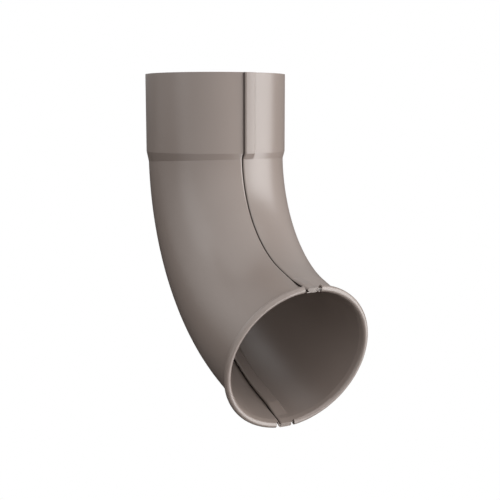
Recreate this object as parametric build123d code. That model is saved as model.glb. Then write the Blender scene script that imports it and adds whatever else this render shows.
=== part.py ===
from build123d import *

import os
from dataclasses import dataclass
from math import asin, copysign, cos, degrees, radians, sin, tan

# Downpipe shoe: two pressed sheet halves, joined along the throat and the heel by folded lock seams.
#
# Frame: +Z up, origin at the middle of the socket's mouth, and the outlet throws towards -Y.
# The throat is the inside of the bend, on -Y, and the heel is the outside, on +Y.
# Sizes are in millimetres, angles in degrees.

# Tube
PIPE_DIAMETER = 100.0      # outside diameter of the downpipe, and of the bent body
SHEET = 0.7                # thickness of the sheet
SOCKET_CLEARANCE = 0.8     # between the downpipe and the socket, all round
SOCKET_DEPTH = 56.0        # straight length of the socket
BEND_RADIUS = 128.0        # radius of the bend's centreline
BEND_ANGLE = 72.0          # angle that the bend turns through
TAPER_ANGLE = 3.0          # first part of the bend, where the socket narrows to the body
OUTLET_LENGTH = 32.0       # end of the bend to the middle of the rolled rim

# Lock seams
LAYER_GAP = 0.1            # clearance between two of a seam's four layers
OVER_REACH = 3.9           # bend plane to the fold of the half that lies over a seam
THROAT_UNDER_REACH = 3.3   # bend plane to the fold of the half that lies under the throat's seam
HEEL_UNDER_REACH = 5.0     # bend plane to the fold of the half that lies under the heel's seam
FOLD_GAP = 0.3             # clearance between a fold and the step beside it
CROSSING_LENGTH = 13.0     # stretch of the outlet where the seams cross to the outside
CROSSING_TO_RIM = 6.0      # end of that stretch to the middle of the rolled rim

# Rolled rim
ROLL_DIAMETER = 4.4        # outside diameter of the roll
FLARE_LENGTH = 2.8         # length of the conical flare that leads into the roll
FLARE_ANGLE = 12.0         # angle that the flare opens to
CURL_ANGLE = 290.0         # angle that the sheet turns through, from the wall to the roll's edge
ROOT_ANGLE = 10.0          # first part of the roll's arc, which runs inside the flare's sheet
UNDER_RELIEF = 5.9         # bend plane to the cut end of the roll, where the half lies under
OVER_RELIEF_GAP = 0.9      # step of the seam to the cut end of the roll, where the half lies over
SEAM_OVERRUN = 1.8         # end of the seams' layers, past the middle of the roll

# Worked-out values
PITCH = SHEET + LAYER_GAP
RISE = 3 * PITCH
STEP_RADIUS = RISE / 2
FOLD_HALF = PITCH + SHEET / 2
BODY_WALL = PIPE_DIAMETER / 2 - SHEET / 2
SOCKET_WALL = PIPE_DIAMETER / 2 + SOCKET_CLEARANCE + SHEET / 2
ROLL_RADIUS = ROLL_DIAMETER / 2 - SHEET / 2
FLARE_END = OUTLET_LENGTH + ROLL_RADIUS * sin(radians(FLARE_ANGLE))
FLARE_START = FLARE_END - FLARE_LENGTH
FLARE_SLOPE = tan(radians(FLARE_ANGLE))
CROSSING_END = OUTLET_LENGTH - CROSSING_TO_RIM
CROSSING_START = CROSSING_END - CROSSING_LENGTH
SEAM_END = OUTLET_LENGTH + SEAM_OVERRUN


@dataclass
class Arc:
    """Arc of a sheet's middle line, run from start through size degrees."""

    centre: Vector
    radius: float
    start: float
    size: float

    def turned(self, angle):
        """The same arc, turned about the tube's axis."""
        return Arc(self.centre.rotate(Axis.Z, angle), self.radius, self.start + angle, self.size)

    def mirrored(self):
        """The same arc at the other seam, run the other way."""
        centre = Vector(-self.centre.X, self.centre.Y)
        return Arc(centre, self.radius, 180 - self.start - self.size, self.size)

    def edge(self, offset, forwards):
        """Arc beside the middle line, offset to its left."""
        radius = self.radius - offset * copysign(1, self.size)
        if forwards:
            return CenterArc(self.centre, radius, self.start, self.size)
        return CenterArc(self.centre, radius, self.start + self.size, -self.size)


def polar(radius, angle):
    """Point of a section, with the angle measured from the throat towards the left half."""
    return Vector(radius * cos(radians(angle)), radius * sin(radians(angle)))


def round_axis(radius, start, end):
    """Arc about the tube's axis."""
    return Arc(Vector(0, 0), radius, start, end - start)


def step(strip, wall, middle):
    """Step between a seam's strip and the wall: its start angle, its end angle and its two arcs."""
    radius = (strip + wall) / 2
    half = degrees(asin(STEP_RADIUS / radius))
    start = middle - half
    end = middle + half
    if strip == wall:
        return start, end, [round_axis(wall, start, middle), round_axis(wall, middle, end)]
    if strip < wall:
        first = Arc(polar(radius, start), STEP_RADIUS, start + 180, half - 90)
        last = Arc(polar(radius, end), STEP_RADIUS, middle - 90, half + 90)
    else:
        first = Arc(polar(radius, start), STEP_RADIUS, start, half + 90)
        last = Arc(polar(radius, end), STEP_RADIUS, middle - 90, half - 90)
    return start, end, [first, last]


def folded_edge(strip, wall, hook_side, reach, mate_reach):
    """Folded edge of a half, from the free end of its hook to the wall: end angle and arcs.

    The hook is folded outwards where hook_side is 1, and inwards where it is -1.
    """
    hook = strip + 2 * hook_side * PITCH
    fold = strip + hook_side * PITCH
    fold_angle = -degrees((reach - FOLD_HALF) / fold)
    hook_angle = degrees((mate_reach - FOLD_HALF) / hook)
    step_middle = degrees((mate_reach + FOLD_GAP + SHEET / 2) / wall)
    step_start, step_end, step_arcs = step(strip, wall, step_middle)
    fold_start = fold_angle if hook_side > 0 else fold_angle + 180
    return step_end, [
        round_axis(hook, hook_angle, fold_angle),
        Arc(polar(fold, fold_angle), PITCH, fold_start, -180 * hook_side),
        round_axis(strip, fold_angle, step_start),
        *step_arcs,
    ]


@dataclass
class Half:
    """One half of the shoe, as a left half: under its seam at the throat, over its seam at the heel."""

    half_turn: float
    reach: float
    mate_reach: float

    def edges(self, wall, outside):
        """Folded edges at the throat and at the heel, each with the angle where the wall begins."""
        under_strip = wall if outside else wall - RISE
        over_strip = wall + RISE if outside else wall
        under = folded_edge(under_strip, wall, 1, self.reach, OVER_REACH)
        over = folded_edge(over_strip, wall, -1, OVER_REACH, self.mate_reach)
        return under, over

    def section(self, plane, wall, outside):
        """Face of the whole section, from the edge at the throat to the edge at the heel."""
        (under_end, under), (over_end, over) = self.edges(wall, outside)
        side = round_axis(wall, under_end, 180 - over_end)
        return self.placed(plane, [*under, side, *(arc.mirrored() for arc in reversed(over))])

    def placed(self, plane, arcs):
        """Face of some arcs of the section, turned to this half's side."""
        return plane * sheet_face([arc.turned(self.half_turn) for arc in arcs])


def sheet_face(arcs):
    """Face of the sheet's section, with half its thickness on both sides of the middle line."""
    left = [arc.edge(SHEET / 2, True) for arc in arcs]
    right = [arc.edge(-SHEET / 2, False) for arc in reversed(arcs)]
    end_cap = Line(left[-1] @ 1, right[0] @ 0)
    start_cap = Line(right[-1] @ 1, left[0] @ 0)
    return Face(Wire([*left, end_cap, *right, start_cap]))


def station(bend, straight=0.0):
    """Section plane at an angle of the bend and a straight length past it.

    Its x points to the throat, its y to the left half and its z along the flow.
    """
    flow = Vector(0, -sin(radians(bend)), -cos(radians(bend)))
    throat = Vector(0, -cos(radians(bend)), sin(radians(bend)))
    bend_centre = Vector(0, -BEND_RADIUS, -SOCKET_DEPTH)
    return Plane(bend_centre - throat * BEND_RADIUS + flow * straight, x_dir=throat, z_dir=flow)


def tube(half):
    """Socket, taper, bend, outlet and flare of one half."""
    bend_axis = Axis((0, -BEND_RADIUS, -SOCKET_DEPTH), (-1, 0, 0))
    flow = station(BEND_ANGLE).z_dir
    flare_wall = BODY_WALL + FLARE_LENGTH * FLARE_SLOPE
    socket_end = half.section(station(0), SOCKET_WALL, outside=True)
    bend_start = half.section(station(TAPER_ANGLE), BODY_WALL, outside=False)
    bend_end = half.section(station(BEND_ANGLE), BODY_WALL, outside=False)
    crossing_start = half.section(station(BEND_ANGLE, CROSSING_START), BODY_WALL, outside=False)
    crossing_end = half.section(station(BEND_ANGLE, CROSSING_END), BODY_WALL, outside=True)
    flare_start = half.section(station(BEND_ANGLE, FLARE_START), BODY_WALL, outside=True)
    flare_end = half.section(station(BEND_ANGLE, FLARE_END), flare_wall, outside=True)
    return [
        extrude(socket_end, amount=SOCKET_DEPTH, dir=(0, 0, 1)),
        loft([socket_end, bend_start], ruled=True),
        revolve(bend_start, axis=bend_axis, revolution_arc=BEND_ANGLE - TAPER_ANGLE),
        extrude(bend_end, amount=CROSSING_START, dir=flow),
        loft([crossing_start, crossing_end], ruled=True),
        extrude(crossing_end, amount=FLARE_START - CROSSING_END, dir=flow),
        loft([flare_start, flare_end], ruled=True),
    ]


def seam_ends(half):
    """Ends of one half's folded edges, which run out between the ends of the roll."""

    def sections(straight):
        plane = station(BEND_ANGLE, straight)
        wall = BODY_WALL + (straight - FLARE_START) * FLARE_SLOPE
        (_, under), (_, over) = half.edges(wall, outside=True)
        over_mirrored = [arc.mirrored() for arc in reversed(over)]
        return half.placed(plane, under[:-1]), half.placed(plane, over_mirrored)

    starts = sections(FLARE_END)
    ends = sections(SEAM_END)
    return [loft([start, end], ruled=True) for start, end in zip(starts, ends)]


def rolled_rim(half):
    """Outward roll of one half, between its two reliefs."""
    outlet = station(BEND_ANGLE)
    roll_wall = BODY_WALL + FLARE_LENGTH * FLARE_SLOPE + ROLL_RADIUS * cos(radians(FLARE_ANGLE))
    roll = Arc(
        Vector(OUTLET_LENGTH, roll_wall),
        ROLL_RADIUS,
        FLARE_ANGLE - ROOT_ANGLE - 90,
        CURL_ANGLE - FLARE_ANGLE + ROOT_ANGLE,
    )
    over_end = half.edges(BODY_WALL, outside=True)[1][0]
    start_relief = degrees(asin(UNDER_RELIEF / BODY_WALL))
    end_relief = over_end + degrees(OVER_RELIEF_GAP / BODY_WALL)
    out = outlet.x_dir.rotate(Axis((0, 0, 0), outlet.z_dir), start_relief + half.half_turn)
    start = Plane(outlet.origin, x_dir=outlet.z_dir, z_dir=outlet.z_dir.cross(out))
    axis = Axis(outlet.origin, outlet.z_dir)
    return revolve(start * sheet_face([roll]), axis=axis, revolution_arc=180 - start_relief - end_relief)


def shell(half):
    """Sheet of one half."""
    runs = tube(half)
    return runs[0].fuse(*runs[1:], *seam_ends(half), rolled_rim(half))


def main():
    os.makedirs("parts", exist_ok=True)
    left = Half(0, THROAT_UNDER_REACH, HEEL_UNDER_REACH)
    right = Half(180, HEEL_UNDER_REACH, THROAT_UNDER_REACH)
    for name, half in (("left_half_shell", left), ("right_half_shell", right)):
        export_step(shell(half), f"parts/{name}.step")


main()
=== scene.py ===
from math import pi, radians

import bpy
from mathutils import Euler, Matrix, Vector

# Camera, in metres and in the part's frame. Its lens and sensor are in millimetres.
CAMERA_AT = Vector((-0.31559, -0.62542, -0.02601))
CAMERA_RIGHT = Vector((0.87570, -0.48286, 0.0))
CAMERA_BACK = Vector((-0.47750, -0.86598, 0.14857))
LENS = 67.019
SENSOR = 36.0
CLIP_START = 0.01
CLIP_END = 20.0

# Coating. Each noise has its scale and its detail, and depths and reaches are in metres.
COAT_COLOUR = (0.235, 0.192, 0.170, 1.0)
COAT_SPECULAR = 0.8
COAT_ROUGHNESS = 0.31
TINT_NOISE = (25.0, 2.0)
TINT_SPREAD = 0.03           # either way, as a share of the colour
MOTTLE_NOISE = (60.0, 3.0)
MOTTLE_SPREAD = 0.03         # either way, in roughness
PEEL_NOISE = (900.0, 2.0)
PEEL_STRENGTH = 0.12
PEEL_DEPTH = 0.00004
# Painted shade: near ambient occlusion darkens the coat's colour towards this near-black in
# crevices and seams
PAINTED_SHADE_COLOUR = (0.015, 0.012, 0.010, 1.0)
PAINTED_SHADE_REACH = 0.0015
PAINTED_SHADE_SAMPLES = 16
PAINTED_SHADE_FADE = (0.3, 0.95)   # how open the surface is, from the painted shade's colour to the coat's

# Lights: panels that face the part's middle from one distance, each with its name, azimuth and
# elevation in degrees from the camera's side, width, height and brightness
PART_MIDDLE = Vector((0.0, 0.0, -0.69))   # in the camera's frame
LIGHT_DISTANCE = 1.1
LIGHTS = (
    ("key_strip", 70.0, -5.0, 0.75, 1.5, 4.12),
    ("key_edge", 97.0, -5.0, 0.3, 1.5, 3.37),
    ("key_foot", 82.0, -45.0, 1.0, 0.6, 1.05),
    ("left_panel", -52.0, 20.0, 0.5, 0.76, 1.13),
    ("far_left_panel", -85.0, 20.0, 0.8, 0.76, 0.35),
    ("front_panel", -2.0, 20.0, 1.5, 0.76, 0.62),
    ("low_panel", -10.0, -22.0, 2.4, 0.72, 0.9),
    ("overhead_panel", 0.0, 65.0, 1.6, 1.0, 0.68),
    ("back_left_panel", -140.0, 35.0, 0.9, 0.7, 1.0),
)

# World, as the part sees it (ground and sky) and as the camera sees it (white)
GROUND = (0.0, 0.0, 0.0, 1.0)
SKY = (0.55, 0.55, 0.55, 1.0)
HORIZON = (-0.1, 0.4)        # height of a direction, from ground to sky
WHITE = (1.0, 1.0, 1.0, 1.0)

# Sockets of a Mix node that mixes colours
MIX_FACTOR = 0
MIX_FIRST = 6
MIX_SECOND = 7
MIX_RESULT = 2


def camera_axes():
    """Rotation from the camera's frame to the part's frame."""
    back = CAMERA_BACK.normalized()
    right = CAMERA_RIGHT.normalized()
    up = back.cross(right)
    return Matrix((right, up, back)).transposed()


def add_camera():
    data = bpy.data.cameras.new("camera")
    data.sensor_width = SENSOR
    data.lens = LENS
    data.clip_start = CLIP_START
    data.clip_end = CLIP_END
    camera = bpy.data.objects.new("camera", data)
    camera.matrix_world = Matrix.Translation(CAMERA_AT) @ camera_axes().to_4x4()
    bpy.context.scene.collection.objects.link(camera)
    bpy.context.scene.camera = camera


def add_lights():
    axes = camera_axes()
    middle = CAMERA_AT + axes @ PART_MIDDLE
    for name, azimuth, elevation, width, height, brightness in LIGHTS:
        data = bpy.data.lights.new(name, "AREA")
        data.shape = "RECTANGLE"
        data.size = width
        data.size_y = height
        data.energy = pi * width * height * brightness
        side = Euler((-radians(elevation), radians(azimuth), 0.0)).to_matrix()
        turn = axes @ side
        at = middle + turn @ Vector((0.0, 0.0, LIGHT_DISTANCE))
        light = bpy.data.objects.new(name, data)
        light.matrix_world = Matrix.Translation(at) @ turn.to_4x4()
        bpy.context.scene.collection.objects.link(light)


def add_range(tree, value, side, limits):
    """Map Range node for a value, with limits on its From or To side and 0 to 1 on the other."""
    node = tree.nodes.new("ShaderNodeMapRange")
    node.inputs[side + " Min"].default_value, node.inputs[side + " Max"].default_value = limits
    tree.links.new(value, node.inputs["Value"])
    return node


def add_noise(tree, place, noise):
    """Noise over the part's own coordinates."""
    node = tree.nodes.new("ShaderNodeTexNoise")
    node.inputs["Scale"].default_value, node.inputs["Detail"].default_value = noise
    tree.links.new(place.outputs["Object"], node.inputs["Vector"])
    return node.outputs["Fac"]


def add_world():
    """White to the camera, and a soft light from above to the part."""
    world = bpy.data.worlds.new("studio")
    world.use_nodes = True
    tree = world.node_tree
    tree.nodes.clear()
    place = tree.nodes.new("ShaderNodeTexCoord")
    split = tree.nodes.new("ShaderNodeSeparateXYZ")
    tree.links.new(place.outputs["Generated"], split.inputs["Vector"])
    rise = add_range(tree, split.outputs["Z"], "From", HORIZON)
    blend = tree.nodes.new("ShaderNodeMix")
    blend.data_type = "RGBA"
    blend.inputs[MIX_FIRST].default_value = GROUND
    blend.inputs[MIX_SECOND].default_value = SKY
    tree.links.new(rise.outputs["Result"], blend.inputs[MIX_FACTOR])
    light = tree.nodes.new("ShaderNodeBackground")
    tree.links.new(blend.outputs[MIX_RESULT], light.inputs["Color"])
    backdrop = tree.nodes.new("ShaderNodeBackground")
    backdrop.inputs["Color"].default_value = WHITE
    path = tree.nodes.new("ShaderNodeLightPath")
    mix = tree.nodes.new("ShaderNodeMixShader")
    out = tree.nodes.new("ShaderNodeOutputWorld")
    tree.links.new(path.outputs["Is Camera Ray"], mix.inputs[0])
    tree.links.new(light.outputs[0], mix.inputs[1])
    tree.links.new(backdrop.outputs[0], mix.inputs[2])
    tree.links.new(mix.outputs[0], out.inputs["Surface"])
    bpy.context.scene.world = world


def coated_sheet():
    """Brown-grey coat with an uneven tint and gloss and a fine orange peel, with painted shade
    darkening it in crevices.
    """
    material = bpy.data.materials.new("coated_sheet")
    material.use_nodes = True
    tree = material.node_tree
    shader = tree.nodes["Principled BSDF"]
    shader.inputs["Specular IOR Level"].default_value = COAT_SPECULAR
    place = tree.nodes.new("ShaderNodeTexCoord")

    tint = add_noise(tree, place, TINT_NOISE)
    shade = add_range(tree, tint, "To", (1.0 - TINT_SPREAD, 1.0 + TINT_SPREAD))
    tinted = tree.nodes.new("ShaderNodeVectorMath")
    tinted.operation = "SCALE"
    tinted.inputs[0].default_value = COAT_COLOUR[:3]
    tree.links.new(shade.outputs["Result"], tinted.inputs["Scale"])
    # Painted shade: ambient occlusion darkens the base colour in crevices and seams
    shade_occlusion = tree.nodes.new("ShaderNodeAmbientOcclusion")
    shade_occlusion.samples = PAINTED_SHADE_SAMPLES
    shade_occlusion.inputs["Distance"].default_value = PAINTED_SHADE_REACH
    painted_shade_mask = add_range(tree, shade_occlusion.outputs["AO"], "From", PAINTED_SHADE_FADE)
    painted_shade_mask.interpolation_type = "SMOOTHSTEP"
    coat_with_painted_shade = tree.nodes.new("ShaderNodeMix")
    coat_with_painted_shade.data_type = "RGBA"
    coat_with_painted_shade.inputs[MIX_FIRST].default_value = PAINTED_SHADE_COLOUR
    tree.links.new(painted_shade_mask.outputs["Result"], coat_with_painted_shade.inputs[MIX_FACTOR])
    tree.links.new(tinted.outputs["Vector"], coat_with_painted_shade.inputs[MIX_SECOND])
    tree.links.new(coat_with_painted_shade.outputs[MIX_RESULT], shader.inputs["Base Color"])

    mottle = add_noise(tree, place, MOTTLE_NOISE)
    roughness_limits = (COAT_ROUGHNESS - MOTTLE_SPREAD, COAT_ROUGHNESS + MOTTLE_SPREAD)
    spread = add_range(tree, mottle, "To", roughness_limits)
    tree.links.new(spread.outputs["Result"], shader.inputs["Roughness"])

    peel = add_noise(tree, place, PEEL_NOISE)
    bump = tree.nodes.new("ShaderNodeBump")
    bump.inputs["Strength"].default_value = PEEL_STRENGTH
    bump.inputs["Distance"].default_value = PEEL_DEPTH
    tree.links.new(peel, bump.inputs["Height"])
    tree.links.new(bump.outputs["Normal"], shader.inputs["Normal"])
    return material


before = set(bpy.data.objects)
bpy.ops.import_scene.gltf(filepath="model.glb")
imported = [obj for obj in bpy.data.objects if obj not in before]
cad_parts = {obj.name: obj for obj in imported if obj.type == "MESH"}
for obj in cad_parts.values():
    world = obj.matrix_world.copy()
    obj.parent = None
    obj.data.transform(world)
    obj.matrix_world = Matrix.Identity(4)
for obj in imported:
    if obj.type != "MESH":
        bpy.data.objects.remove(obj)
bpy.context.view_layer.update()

coat = coated_sheet()
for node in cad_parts.values():
    for slot in node.material_slots:
        slot.material = coat

add_camera()
add_lights()
add_world()
bpy.context.scene.view_settings.view_transform = "Standard"
